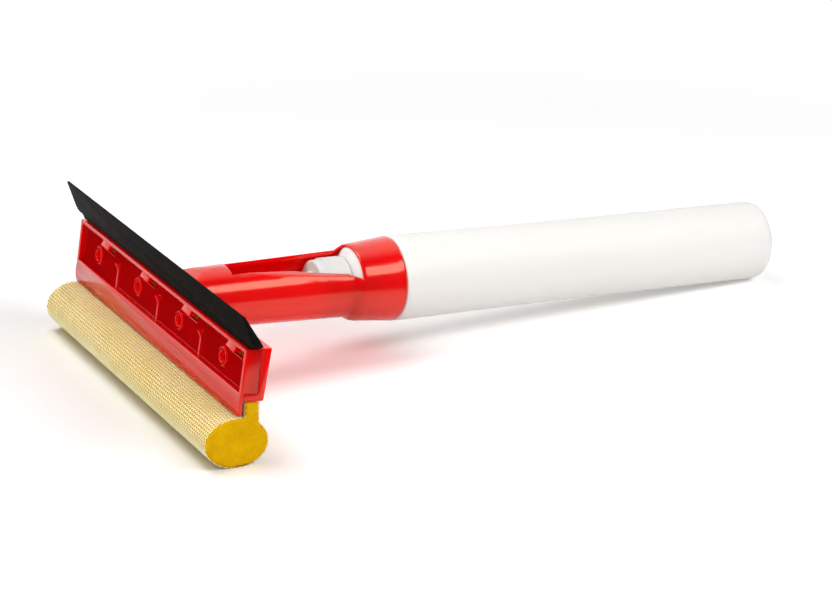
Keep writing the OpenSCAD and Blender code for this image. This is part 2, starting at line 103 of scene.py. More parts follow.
# Helpers for the nodes of the world and the floor


def mathNode(tree, operation, first, second):
    node = tree.nodes.new("ShaderNodeMath")
    node.operation = operation
    tree.links.new(first, node.inputs[0])
    tree.links.new(second, node.inputs[1])
    return node.outputs[0]


def smoothRange(tree, socket, start, end, low=0.0, high=1.0):
    spread = tree.nodes.new("ShaderNodeMapRange")
    spread.interpolation_type = "SMOOTHSTEP"
    spread.inputs["From Min"].default_value = start
    spread.inputs["From Max"].default_value = end
    spread.inputs["To Min"].default_value = low
    spread.inputs["To Max"].default_value = high
    tree.links.new(socket, spread.inputs["Value"])
    return spread.outputs["Result"]


def splitY(tree, socket):
    split = tree.nodes.new("ShaderNodeSeparateXYZ")
    tree.links.new(socket, split.inputs[0])
    return split.outputs["Y"]


def distanceFrom(tree, socket, middle):
    apart = tree.nodes.new("ShaderNodeVectorMath")
    apart.operation = "DISTANCE"
    apart.inputs[1].default_value = middle
    tree.links.new(socket, apart.inputs[0])
    return apart.outputs["Value"]


def mixShaders(tree, factor, first, second):
    mix = tree.nodes.new("ShaderNodeMixShader")
    tree.links.new(factor, mix.inputs[0])
    tree.links.new(first.outputs[0], mix.inputs[1])
    tree.links.new(second.outputs[0], mix.inputs[2])
    return mix


def shownTo(tree, plain, reflected, seen):
    # plain lights the tool, reflected is for gloss, and seen is for the camera and what lets light through
    path = tree.nodes.new("ShaderNodeLightPath").outputs
    unseen = mixShaders(tree, path["Is Glossy Ray"], plain, reflected)
    straight = mathNode(tree, "MAXIMUM", path["Is Camera Ray"], path["Is Transmission Ray"])
    return mixShaders(tree, straight, unseen, seen)


# World

room = {
    "ambient": 0.23,
    "nearSide": 0.03,  # how bright the room's near side is in reflections
    "farSide": 1.7,
    "nearEdge": -0.25,  # the near side turns into the far side between these, in the direction's Y
    "farEdge": 0.3,
}


def makeWorld():
    world = bpy.data.worlds.new("paleStudio")
    bpy.context.scene.world = world
    world.use_nodes = True
    tree = world.node_tree
    ambient = tree.nodes["Background"]
    ambient.inputs["Color"].default_value = (1, 1, 1, 1)
    ambient.inputs["Strength"].default_value = room["ambient"]
    direction = splitY(tree, tree.nodes.new("ShaderNodeTexCoord").outputs["Generated"])
    level = smoothRange(
        tree, direction, room["nearEdge"], room["farEdge"], room["nearSide"], room["farSide"]
    )
    reflected = tree.nodes.new("ShaderNodeBackground")
    tree.links.new(level, reflected.inputs["Strength"])
    seen = tree.nodes.new("ShaderNodeBackground")
    shown = shownTo(tree, ambient, reflected, seen)
    tree.links.new(shown.outputs[0], tree.nodes["World Output"].inputs[0])


# Floor: white with the tool's shadow where it is seen, and dim on its near side in reflections

floorLook = {
    "size": 6.0,
    "color": 0.95,
    "seenColor": 1.38,  # brings the lit floor to white where it is seen or reflected
    "fadeStart": 0.28,  # the shadow fades out between these, from the middle
    "fadeEnd": 0.52,
    "nearStart": -0.02,  # the near side starts between these, in Y
    "nearEnd": -0.15,
    "brightSpot": (-0.15, -0.05, 0.0),  # round the head the floor stays bright in reflections
    "brightEnd": 0.13,
    "dimStart": 0.26,
}


def addDiffuse(tree, level):
    diffuse = tree.nodes.new("ShaderNodeBsdfDiffuse")
    diffuse.inputs["Color"].default_value = (level, level, level, 1)
    return diffuse


def makeFloor():
    mesh = bpy.data.meshes.new("floor")
    half = floorLook["size"] / 2
    corners = [(-half, -half, 0), (half, -half, 0), (half, half, 0), (-half, half, 0)]
    mesh.from_pydata(corners, [], [(0, 1, 2, 3)])
    floor = bpy.data.objects.new("floor", mesh)
    bpy.context.scene.collection.objects.link(floor)
    material = bpy.data.materials.new("paleFloor")
    mesh.materials.append(material)
    material.use_nodes = True
    tree = material.node_tree
    tree.nodes.remove(tree.nodes["Principled BSDF"])
    spot = tree.nodes.new("ShaderNodeNewGeometry").outputs["Position"]
    white = tree.nodes.new("ShaderNodeEmission")
    reach = distanceFrom(tree, spot, (0, 0, 0))
    fade = smoothRange(tree, reach, floorLook["fadeStart"], floorLook["fadeEnd"])
    seen = mixShaders(tree, fade, addDiffuse(tree, floorLook["seenColor"]), white)
    dim = tree.nodes.new("ShaderNodeEmission")
    dim.inputs["Strength"].default_value = room["nearSide"]
    nearSide = smoothRange(tree, splitY(tree, spot), floorLook["nearStart"], floorLook["nearEnd"])
    fromHead = distanceFrom(tree, spot, floorLook["brightSpot"])
    awayFromHead = smoothRange(tree, fromHead, floorLook["brightEnd"], floorLook["dimStart"])
    dimming = mathNode(tree, "MULTIPLY", awayFromHead, nearSide)
    reflected = mixShaders(tree, dimming, seen, dim)
    shown = shownTo(tree, addDiffuse(tree, floorLook["color"]), reflected, seen)
    tree.links.new(shown.outputs[0], tree.nodes["Material Output"].inputs[0])
    return floor


# Lamps. throughKey is the part of the overhead light that the milky bottle lets through

softboxes = {
    "keySoftbox": {
        "size": (0.7, 0.7), "place": (-0.33, 0.25, 1.15), "aim": (0, 0, 0), "radiance": 2.8,
    },
    "throughKey": {
        "size": (0.7, 0.7), "place": (-0.33, 0.25, 1.15), "aim": (0, 0, 0), "radiance": 1.2,
    },
    "sideSoftbox": {
        "size": (0.72, 0.44), "place": (0.41, -0.736, 0.80), "aim": (-0.06, 0, 0.04), "radiance": 5.3,
    },
    "leftFill": {
        "size": (0.9, 0.9), "place": (-1.05, -0.1, 0.55), "aim": (-0.16, 0, 0.02), "radiance": 3.9,
    },
    "frontFill": {
        "size": (0.8, 0.8), "place": (0.10, -1.05, 0.20), "aim": (-0.02, 0, 0.03), "radiance": 2.8,
    },
}


def addSoftbox(name):
    box = softboxes[name]
    width, height = box["size"]
    data = bpy.data.lights.new(name, "AREA")
    data.shape = "RECTANGLE"
    data.size = width
    data.size_y = height
    data.energy = box["radiance"] * math.pi * width * height
    lamp = bpy.data.objects.new(name, data)
    bpy.context.scene.collection.objects.link(lamp)
    lamp.location = box["place"]
    back = Vector(box["place"]) - Vector(box["aim"])
    lamp.rotation_euler = back.to_track_quat("Z", "Y").to_euler()
    return lamp


def leaveOut(name, thing):
    # A collection for light linking that leaves one thing out
    group = bpy.data.collections.new(name)
    group.objects.link(thing)
    group.collection_objects[0].light_linking.link_state = "EXCLUDE"
    return group


makeCamera()
makeWorld()
studioFloor = makeFloor()
lamps = {name: addSoftbox(name) for name in softboxes}
besideFloor = leaveOut("besideFloor", studioFloor)
for name in ("leftFill", "frontFill"):
    lamps[name].visible_glossy = False
    lamps[name].light_linking.receiver_collection = besideFloor
bpy.context.scene.view_settings.view_transform = "Standard"
print("camera, floor and light made")

# Helpers for materials


def newMaterial(name, sockets):
    material = bpy.data.materials.new(name)
    material.use_nodes = True
    shader = material.node_tree.nodes["Principled BSDF"]
    for socket, value in sockets.items():
        shader.inputs[socket].default_value = value
    return material


def plug(material, name, socket):
    tree = material.node_tree
    tree.links.new(socket, tree.nodes["Principled BSDF"].inputs[name])


def addNoise(tree, scale, detail=3.0, stretch=(1, 1, 1)):
    # Noise in the piece's own metres, with each axis stretched
    spot = tree.nodes.new("ShaderNodeTexCoord")
    mapping = tree.nodes.new("ShaderNodeMapping")
    mapping.inputs["Scale"].default_value = stretch
    texture = tree.nodes.new("ShaderNodeTexNoise")
    texture.inputs["Scale"].default_value = scale
    texture.inputs["Detail"].default_value = detail
    tree.links.new(spot.outputs["Object"], mapping.inputs["Vector"])
    tree.links.new(mapping.outputs["Vector"], texture.inputs["Vector"])
    return texture.outputs["Fac"]


def addCells(tree, scale):
    spot = tree.nodes.new("ShaderNodeTexCoord")
    texture = tree.nodes.new("ShaderNodeTexVoronoi")
    texture.inputs["Scale"].default_value = scale
    tree.links.new(spot.outputs["Object"], texture.inputs["Vector"])
    return texture.outputs["Distance"]


def addRange(tree, socket, low, high):
    spread = tree.nodes.new("ShaderNodeMapRange")
    spread.inputs["To Min"].default_value = low
    spread.inputs["To Max"].default_value = high
    tree.links.new(socket, spread.inputs["Value"])
    return spread.outputs["Result"]


def addBump(tree, socket, depth, strength, under=None):
    bump = tree.nodes.new("ShaderNodeBump")
    bump.inputs["Distance"].default_value = depth
    bump.inputs["Strength"].default_value = strength
    tree.links.new(socket, bump.inputs["Height"])
    if under is not None:
        tree.links.new(under, bump.inputs["Normal"])
    return bump.outputs["Normal"]


def shadeColor(material, pattern, start=0.3, end=0.7):
    # The base colour wanders between the material's two shades
    low, high = shades[material.name]
    tree = material.node_tree
    ramp = tree.nodes.new("ShaderNodeValToRGB")
    first, last = ramp.color_ramp.elements
    first.position = start
    first.color = low + (1,)
    last.position = end
    last.color = high + (1,)
    tree.links.new(pattern, ramp.inputs["Fac"])
    tree.nodes["Principled BSDF"].inputs["Base Color"].default_value = high + (1,)
    plug(material, "Base Color", ramp.outputs["Color"])


# Materials

shades = {
    "redPlastic": ((0.84, 0.002, 0.003), (0.88, 0.003, 0.005)),
    # the plate is the frame's red plastic, darkened: painted shade on its skirt and field, which face down
    # and away from the light
    "shadedPlateRed": ((0.53, 0.001, 0.002), (0.59, 0.001, 0.003)),
    # a darker red still on the sunk field and the peg ends: painted shade from the blade above them, with
    # a matte grain
    "grainedShadedRed": ((0.265, 0.001, 0.001), (0.315, 0.001, 0.002)),
    "bladeRubber": ((0.003, 0.003, 0.003), (0.008, 0.008, 0.007)),
    "yellowFoam": ((0.60, 0.315, 0.001), (0.70, 0.405, 0.001)),
    "netThread": ((0.96, 0.88, 0.46), (0.98, 0.93, 0.56)),
    "milkyPlastic": ((0.805, 0.784, 0.746), (0.825, 0.808, 0.776)),
    # the white cap's colour is lowered to a grey: painted shade of the trough it sits in
    "shadedWhiteCap": ((0.6014, 0.6014, 0.582), (0.62, 0.62, 0.60)),
    "sealDisc": ((0.7954, 0.7954, 0.7566), (0.82, 0.82, 0.78)),
    "creamSpout": ((0.8536, 0.7954, 0.6596), (0.88, 0.82, 0.68)),
}

redSockets = {
    "IOR": 1.5,
    "Specular IOR Level": 0.62,
    "Specular Tint": (1.0, 0.88, 0.62, 1),
    "Subsurface Weight": 0.8,
    "Subsurface Radius": (0.012, 0.0006, 0.0006),
    "Subsurface Scale": 1.0,
}


def redPlastic(name):
    material = newMaterial(name, redSockets)
    tree = material.node_tree
    shadeColor(material, addNoise(tree, scale=38.0))
    plug(material, "Roughness", addRange(tree, addNoise(tree, scale=260.0), low=0.11, high=0.19))
    skin = addBump(tree, addNoise(tree, scale=900.0, detail=2.0), depth=0.00002, strength=0.5)
    wave = addNoise(tree, scale=60.0, detail=1.0)
    plug(material, "Normal", addBump(tree, wave, depth=0.0002, strength=0.25, under=skin))
    return material


def grainedShadedRed():
    # The mould's fine grain, sunk between the polished lip and skirt. Its dark base colour is painted
    # shade from the blade that overhangs the sunk field
    material = newMaterial("grainedShadedRed", {"IOR": 1.5, "Specular IOR Level": 0.0})
    tree = material.node_tree
    shadeColor(material, addNoise(tree, scale=45.0))
    plug(material, "Roughness", addRange(tree, addNoise(tree, scale=300.0), low=0.68, high=0.82))
    grain = addNoise(tree, scale=3600.0, detail=2.0)
    plug(material, "Normal", addBump(tree, grain, depth=0.00003, strength=0.7))
    return material


def bladeRubber():
    material = newMaterial("bladeRubber", {"IOR": 1.5, "Specular IOR Level": 0.02})
    tree = material.node_tree
    dust = addNoise(tree, scale=500.0, detail=6.0)
    shadeColor(material, dust, start=0.35, end=0.75)
    wear = addNoise(tree, scale=120.0, detail=4.0)
    plug(material, "Roughness", addRange(tree, wear, low=0.52, high=0.68))
    grain = addNoise(tree, scale=2500.0, detail=3.0)
    plug(material, "Normal", addBump(tree, grain, depth=0.00003, strength=0.6))
    return material


foamSockets = {
    "Roughness": 0.85,
    "Specular IOR Level": 0.05,
    "Subsurface Weight": 0.25,
    "Subsurface Radius": (0.002, 0.0013, 0.0004),
    "Subsurface Scale": 1.0,
}


def yellowFoam():
    material = newMaterial("yellowFoam", foamSockets)
    tree = material.node_tree
    shadeColor(material, addNoise(tree, scale=160.0, detail=5.0))
    pores = addBump(tree, addCells(tree, scale=900.0), depth=0.0004, strength=0.7)
    grain = addNoise(tree, scale=2600.0, detail=2.0)
    plug(material, "Normal", addBump(tree, grain, depth=0.0001, strength=0.5, under=pores))
    return material


netSockets = {
    "Roughness": 0.62,
    "Specular IOR Level": 0.3,
    "Sheen Weight": 0.15,
    "Sheen Roughness": 0.5,
    "Subsurface Weight": 0.2,
    "Subsurface Radius": (0.001, 0.0008, 0.0004),
    "Subsurface Scale": 1.0,
}


def netThread():
    material = newMaterial("netThread", netSockets)
    tree = material.node_tree
    shadeColor(material, addNoise(tree, scale=70.0, detail=4.0), start=0.35, end=0.65)
    fibres = addNoise(tree, scale=5200.0, detail=2.0)
    plug(material, "Normal", addBump(tree, fibres, depth=0.00006, strength=0.6))
    return material


milkySockets = {
    "IOR": 1.5,
    "Specular IOR Level": 0.15,
    "Subsurface Weight": 0.5,
    "Subsurface Radius": (0.0022, 0.0021, 0.0019),
    "Subsurface Scale": 1.0,
    "Transmission Weight": 0.06,
}


def milkyPlastic():
    material = newMaterial("milkyPlastic", milkySockets)
    tree = material.node_tree
    shadeColor(material, addNoise(tree, scale=90.0, stretch=(0.12, 1, 1)))
    haze = addNoise(tree, scale=300.0, detail=4.0)
    plug(material, "Roughness", addRange(tree, haze, low=0.3, high=0.44))
    wave = addNoise(tree, scale=45.0, detail=1.0, stretch=(0.3, 1, 1))
    wave = addBump(tree, wave, depth=0.0006, strength=0.22)
    skin = addNoise(tree, scale=1400.0, detail=2.0)
    plug(material, "Normal", addBump(tree, skin, depth=0.00004, strength=0.4, under=wave))
    return material


paleSockets = {
    "IOR": 1.5,
    "Subsurface Weight": 0.3,
    "Subsurface Radius": (0.0015, 0.0014, 0.0012),
    "Subsurface Scale": 1.0,
}


def palePlastic(name, roughness):
    material = newMaterial(name, paleSockets | {"Roughness": roughness})
    tree = material.node_tree
    shadeColor(material, addNoise(tree, scale=130.0), start=0.35, end=0.65)
    skin = addNoise(tree, scale=1600.0, detail=2.0)
    plug(material, "Normal", addBump(tree, skin, depth=0.00003, strength=0.5))
    return material


finishes = {
    "red_frame": redPlastic("redPlastic"),
    # the frame's red plastic with a darker base colour: painted shade on the plate
    "red_plate": redPlastic("shadedPlateRed"),
    "blade_rubber": bladeRubber(),
    "yellow_foam": yellowFoam(),
    "net_sleeve": netThread(),
    "milky_bottle": milkyPlastic(),
    # a white cap with a grey base colour: painted shade of the trough
    "white_cap": palePlastic("shadedWhiteCap", roughness=0.38),
    "seal_disc": palePlastic("sealDisc", roughness=0.6),
    "spout_plastic": palePlastic("creamSpout", roughness=0.3),
}
# matte grain whose dark base colour is painted shade under the blade
grainAndShadeFinish = grainedShadedRed()
print("materials made")

# Helpers for meshes


def adoptPiece(name, mesh, slotName, body, node):
    # A piece that rides on a body and stands for one CAD node
    piece = bpy.data.objects.new(name, mesh)
    bpy.context.scene.collection.objects.link(piece)
    mesh.materials.clear()
    mesh.materials.append(finishes[slotName])
    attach(piece, body)
    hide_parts(node)
    return piece


def newPiece(name, vertices, faces, slotName, body, node, ownFrame):
    mesh = bpy.data.meshes.new(name)
    mesh.from_pydata([tuple(v) for v in vertices], [], faces)
    mesh.transform(ownFrame)
    return adoptPiece(name, mesh, slotName, body, node)


def smoothShade(mesh, crispAngle=32.0):
    # Smooth all over, with the edges sharper than the angle kept crisp
    shape = bmesh.new()
    shape.from_mesh(mesh)
    for face in shape.faces:
        face.smooth = True
    for edge in shape.edges:
        edge.smooth = edge.is_manifold and edge.calc_face_angle() < math.radians(crispAngle)
    shape.to_mesh(mesh)
    shape.free()


def weld(mesh, gap=2e-6, shortest=1e-7):
    # Joins points that meet, drops faces with no area and turns the rest outwards
    shape = bmesh.new()
    shape.from_mesh(mesh)
    bmesh.ops.remove_doubles(shape, verts=shape.verts, dist=gap)
    bmesh.ops.dissolve_degenerate(shape, dist=shortest, edges=shape.edges)
    bmesh.ops.recalc_face_normals(shape, faces=shape.faces)
    shape.to_mesh(mesh)
    shape.free()


def applyModifiers(piece):
    bpy.context.view_layer.update()
    graph = bpy.context.evaluated_depsgraph_get()
    mesh = bpy.data.meshes.new_from_object(piece.evaluated_get(graph))
    piece.modifiers.clear()
    piece.data = mesh


def readSpots(mesh):
    spots = np.zeros(len(mesh.vertices) * 3, np.float32)
    mesh.vertices.foreach_get("co", spots)
    return spots.reshape(-1, 3)


def writeSpots(mesh, spots):
    mesh.vertices.foreach_set("co", spots.astype(np.float32).ravel())
    mesh.update()


# Red mouldings and the rubber

moulding = {
    "frameRounding": 0.00028,
    "plateRounding": 0.00022,
    "rubberRounding": 0.00022,
    "roundingSteps": 2,
    "edgeAngle": 32.0,  # sharper edges than this are rounded
    "flatAngle": 0.4,  # faces that meet flatter than this become one
    "weldGap": 4e-6,
    "fieldDepth": -0.01545,  # the plate's sunk field, in the head's X
    "fieldSpread": 0.0001,
    "facing": 0.95,  # how squarely a face given the grain and its painted shade looks forwards
    "pegHeight": -0.003,  # the pegs' middle, in the head's Z, and how far they reach from it
    "pegReach": 0.0044,
}


def mouldedPiece(name, node, slotName, rounding):
    # The node's own shape with its edges rounded as a mould rounds them
    mesh = frame["nodes"][node].data.copy()
    shape = bmesh.new()
    shape.from_mesh(mesh)
    bmesh.ops.remove_doubles(shape, verts=shape.verts, dist=moulding["weldGap"])
    flat = math.radians(moulding["flatAngle"])
    bmesh.ops.dissolve_limit(shape, angle_limit=flat, verts=shape.verts, edges=shape.edges)
    shape.to_mesh(mesh)
    shape.free()
    piece = adoptPiece(name, mesh, slotName, frame["nodes"][node]["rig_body"], node)
    bevel = piece.modifiers.new("rounding", "BEVEL")
    bevel.width = rounding
    bevel.segments = moulding["roundingSteps"]
    bevel.limit_method = "ANGLE"
    bevel.angle_limit = math.radians(moulding["edgeAngle"])
    bevel.use_clamp_overlap = False
    applyModifiers(piece)
    smoothShade(piece.data)
    return piece


def grainAndShadeFrontFaces(mesh, onGrainAndShade):
    # Puts the fine grain, with its painted shade, on the front faces whose middles, in the head's frame,
    # onGrainAndShade picks
    mesh.materials.append(grainAndShadeFinish)
    toHead = headFrame.inverted()
    turn = toHead.to_3x3()
    for face in mesh.polygons:
        if abs((turn @ face.normal).x) > moulding["facing"] and onGrainAndShade(toHead @ face.center):
            face.material_index = 1


def onField(spot):
    return abs(spot.x - moulding["fieldDepth"]) < moulding["fieldSpread"]


def onPegEnd(spot):
    return spot.x < moulding["fieldDepth"] and abs(spot.z - moulding["pegHeight"]) < moulding["pegReach"]


headMoulding = mouldedPiece("headMoulding", "head_frame", "red_frame", moulding["frameRounding"])
# the peg ends in the sunk field get the grain and its painted shade
grainAndShadeFrontFaces(headMoulding.data, onPegEnd)
frontPlate = mouldedPiece("frontPlate", "clamp_plate", "red_plate", moulding["plateRounding"])
# the plate's sunk field gets the grain and its painted shade
grainAndShadeFrontFaces(frontPlate.data, onField)
mouldedPiece("wiperRubber", "rubber_blade", "blade_rubber", moulding["rubberRounding"])
print("mouldings and rubber made")

# Foam roll

foam = {
    "voxel": 0.0007,
    "softenSteps": 6,
    "softening": 0.5,
    "grain": 0.00016,
    "cell": 0.0016,
    "crispAngle": 80.0,
}


def makeFoam():
    piece = adoptPiece("foamRoll", frame["nodes"]["sponge"].data.copy(), "yellow_foam", "head", "sponge")
    remesh = piece.modifiers.new("cells", "REMESH")
    remesh.mode = "VOXEL"
    remesh.voxel_size = foam["voxel"]
    soften = piece.modifiers.new("soften", "SMOOTH")
    soften.iterations = foam["softenSteps"]
    soften.factor = foam["softening"]
    applyModifiers(piece)
    mesh = piece.data
    spots = readSpots(mesh)
    normals = np.zeros(len(mesh.vertices) * 3, np.float32)
    mesh.vertex_normals.foreach_get("vector", normals)
    rise = np.array([noise.noise(Vector(spot) / foam["cell"]) for spot in spots]) * foam["grain"]
    spots = spots + normals.reshape(-1, 3) * rise[:, None]
    lowest = spots[:, 2].min()
    spots[:, 2] = np.maximum(spots[:, 2], lowest + foam["grain"])  # pressed flat where it lies
    writeSpots(mesh, spots)
    smoothShade(mesh, foam["crispAngle"])


makeFoam()
print("foam made")

# Net sleeve: wales of thread that zigzag along the roll and meet their neighbours

sleeve = {
    "rollMiddle": (-0.0168, -0.0350),  # the roll and its neck are drawn in the head's X and Z
    "rollHalf": (0.0154, 0.0116),
    "neckFront": -0.0154,
    "neckRear": -0.0087,
    "neckLean": 0.0012,
    "neckTop": -0.0133,
    "frontFillet": 0.0024,
    "rearFillet": 0.0026,
    "filletHeight": 0.0016,
    "filletSteps": 8,
    "rollSteps": 90,
    "pathStep": 0.0002,
    "width": 0.1986,
    "wale": 0.0015,
    "course": 0.0019,
    "stepsPerCourse": 6,
    "threadWidth": 0.00105,
    "threadHeight": 0.00034,
    "threadRing": ((0, -0.5), (0.5, 0), (0, 0.5), (-0.5, 0)),
    "lie": 0.00026,
    "lowest": 0.00005,
    "crispAngle": 100.0,
}


def rollPoint(angle):
    return Vector((
        sleeve["rollMiddle"][0] + sleeve["rollHalf"][0] * math.cos(angle),
        sleeve["rollMiddle"][1] + sleeve["rollHalf"][1] * math.sin(angle),
    ))


def rollAngle(x):
    return math.acos((x - sleeve["rollMiddle"][0]) / sleeve["rollHalf"][0])


def drawnCurve(start, corner, end, steps):
    points = []
    for i in range(steps + 1):
        t = i / steps
        points.append(start * (1 - t) ** 2 + corner * 2 * t * (1 - t) + end * t ** 2)
    return points


def sleevePath():
    # The sleeve's line round the foam: down the neck, round the roll and up again
    rise = Vector((0, sleeve["filletHeight"]))
    fillet = sleeve["filletSteps"]
    turns = sleeve["rollSteps"]
    frontFoot = sleeve["neckFront"] + sleeve["neckLean"]
    rearFoot = sleeve["neckRear"] + sleeve["neckLean"]
    start = rollAngle(frontFoot - sleeve["frontFillet"])
    end = rollAngle(rearFoot + sleeve["rearFillet"]) + 2 * math.pi
    frontCorner = rollPoint(rollAngle(frontFoot))
    rearCorner = rollPoint(rollAngle(rearFoot))
    corners = [Vector((sleeve["neckFront"], sleeve["neckTop"]))]
    corners += drawnCurve(frontCorner + rise, frontCorner, rollPoint(start), fillet)
    corners += [rollPoint(start + (end - start) * i / turns) for i in range(1, turns)]
    corners += drawnCurve(rollPoint(end), rearCorner, rearCorner + rise, fillet)
    corners += [Vector((sleeve["neckRear"], sleeve["neckTop"]))]
    lengths = np.cumsum([0] + [(b - a).length for a, b in zip(corners, corners[1:])])
    along = np.linspace(0, lengths[-1], int(lengths[-1] / sleeve["pathStep"]) + 1)
    xs = np.interp(along, lengths, [corner.x for corner in corners])
    zs = np.interp(along, lengths, [corner.y for corner in corners])
    return along, xs, zs


def makeSleeve():
    along, xs, zs = sleevePath()
    tangentX = np.gradient(xs)
    tangentZ = np.gradient(zs)
    size = np.hypot(tangentX, tangentZ)
    total = along[-1]
    wales = round(total / sleeve["wale"])
    pitch = total / wales
    courses = round(sleeve["width"] / sleeve["course"])
    count = courses * sleeve["stepsPerCourse"] + 1
    ys = np.linspace(-sleeve["width"] / 2, sleeve["width"] / 2, count)
    wave = np.cos(np.arange(count) * 2 * math.pi / sleeve["stepsPerCourse"])
    ring = sleeve["threadRing"]
    corners = len(ring)
    vertices = []
    faces = []
    for wale in range(wales):
        side = 1 if wale % 2 else -1
        spots = np.clip((wale + 0.5) * pitch + side * wave * pitch * 0.5, 0, total)
        spotX = np.interp(spots, along, xs)
        spotZ = np.interp(spots, along, zs)
        outX = np.interp(spots, along, tangentZ / size)
        outZ = np.interp(spots, along, -tangentX / size)
        slope = np.gradient(spots, ys)
        across = 1 / np.sqrt(1 + slope ** 2)
        first = len(vertices)
        for i in range(count):
            out = Vector((outX[i], 0, outZ[i]))
            sideways = Vector((outZ[i], -slope[i], -outX[i])) * across[i]  # square to the thread
            middle = Vector((spotX[i], ys[i], spotZ[i])) + out * sleeve["lie"]
            for u, v in ring:
                vertices.append(
                    middle + sideways * u * sleeve["threadWidth"] + out * v * sleeve["threadHeight"]
                )
        for i in range(count - 1):
            start = first + i * corners
            for j in range(corners):
                k = (j + 1) % corners
                faces.append((start + j, start + k, start + corners + k, start + corners + j))
        last = first + (count - 1) * corners
        faces.append(tuple(first + j for j in reversed(range(corners))))
        faces.append(tuple(last + j for j in range(corners)))
    piece = newPiece("netSleeve", vertices, faces, "net_sleeve", "head", "sponge_net", headFrame)
    mesh = piece.data
    spots = readSpots(mesh)
    spots[:, 2] = np.maximum(spots[:, 2], sleeve["lowest"])
    writeSpots(mesh, spots)
    smoothShade(mesh, sleeve["crispAngle"])


makeSleeve()
print("net sleeve made")

# Helpers for turned pieces. A profile is a closed line of (x, radius) turned about the handle's axis


def evenAngles(count, extra=()):
    angles = [2 * math.pi * k / count for k in range(count)]
    return sorted(set(angles) | {a % (2 * math.pi) for a in extra})


def evenSteps(low, high, step):
    count = max(1, round(abs(high - low) / step))
    return [low + (high - low) * i / count for i in range(count + 1)]


def roundCorner(x, radius, size, start, end, steps=5):
    # Points of a rounded corner in a profile, with its centre at (x, radius)
    points = []
    for i in range(steps + 1):
        angle = math.radians(start + (end - start) * i / steps)
        points.append((x + size * math.cos(angle), radius + size * math.sin(angle)))
    return points


def turnedMesh(profile, angles, lift=None):
    # lift(i, x, angle) adds to the radius of the profile's point i
    vertices = []
    faces = []
    rings = len(profile)
    sides = len(angles)
    for i, (x, radius) in enumerate(profile):
        for angle in angles:
            reach = radius + (lift(i, x, angle) if lift and radius > 0 else 0)
            vertices.append((x, reach * math.cos(angle), reach * math.sin(angle)))
    for i in range(rings):
        j = (i + 1) % rings
        for k in range(sides):
            m = (k + 1) % sides
            faces.append((i * sides + k, i * sides + m, j * sides + m, j * sides + k))
    return vertices, faces


def turnedPiece(name, profile, angles, slotName, body, node, lift=None, extras=()):
    vertices, faces = turnedMesh(profile, angles, lift)
    for moreVertices, moreFaces in extras:
        start = len(vertices)
        vertices += moreVertices
        faces += [tuple(start + v for v in face) for face in moreFaces]
    piece = newPiece(name, vertices, faces, slotName, body, node, toolFrame)
    weld(piece.data)
    smoothShade(piece.data)
    return piece


def toolSpan(node):
    # Where a node starts and ends along the handle
    toTool = toolFrame.inverted()
    along = [(toTool @ v.co).x for v in frame["nodes"][node].data.vertices]
    return min(along), max(along)


def threadRise(x, angle, thread, shift=0.0):
    # Height of a right-handed thread's ridge at a point of its cylinder
    rise = 0.0
    for turn in range(int(thread["turns"]) + 2):
        along = angle / (2 * math.pi) + turn - 1
        if not 0 <= along <= thread["turns"]:
            continue
        middle = thread["start"] + thread["pitch"] * along + shift
        ridge = thread["flank"] * (1 - abs(x - middle) / thread["halfWidth"])
        runOut = min(along, thread["turns"] - along) / thread["runOut"]
        rise = max(rise, thread["height"] * min(1, max(0, ridge)) * min(1, runOut))
    return rise


# Bottle, blown in one piece

bottle = {
    "neckRadius": 0.01112,
    "neckWall": 0.0016,
    "lipRound": 0.0005,
    "threadLead": 0.0008,  # plain neck before the rings of the threaded length
    "threadTail": 0.0022,  # and after them, up to the shoulder
    "threadRing": 0.00022,
    "beadRadius": 0.0117,
    "beadStart": 0.0016,  # this and the next two are measured back from the shoulder
    "beadEnd": 0.0006,
    "beadFoot": 0.0002,
    "shoulder": 0.0800,
    "boreLead": 0.0008,
    "insertStart": 0.0850,
    "insertRadius": 0.0175,
    "insertRound": 0.003,
    "insertRing": 0.002,
    "innerLead": 0.001,
    "step": 0.1058,
    "stepEdge": 0.0003,
    "stepRound": 0.0013,
    "gripRadius": 0.0212,
    "gripRing": 0.004,
    "straightStart": 0.2018,
    "straightRadius": 0.0204,
    "baseRound": 0.0045,
    "footWidth": 0.0025,
    "pushUp": 0.0022,
    "pushUpEdge": 0.5,  # the share of the push-up at the foot's inner edge
    "pushUpSlope": (0.8, 0.6),  # and nearer the middle, at a share of that radius
    "wall": 0.0012,
    "shortestStep": 1e-7,
    "sides": 144,
    "seamAngle": 112.0,
    "seamHeight": 0.00012,
    "seamWidth": 0.00035,
    "seamSteps": (-2.6, -1.6, -0.9, -0.4, 0, 0.4, 0.9, 1.6, 2.6),
    "thread": {
        "start": 0.0689, "pitch": 0.003, "turns": 2.2, "flank": 2.2,
        "halfWidth": 0.0009, "height": 0.00072, "runOut": 0.07,
    },
}


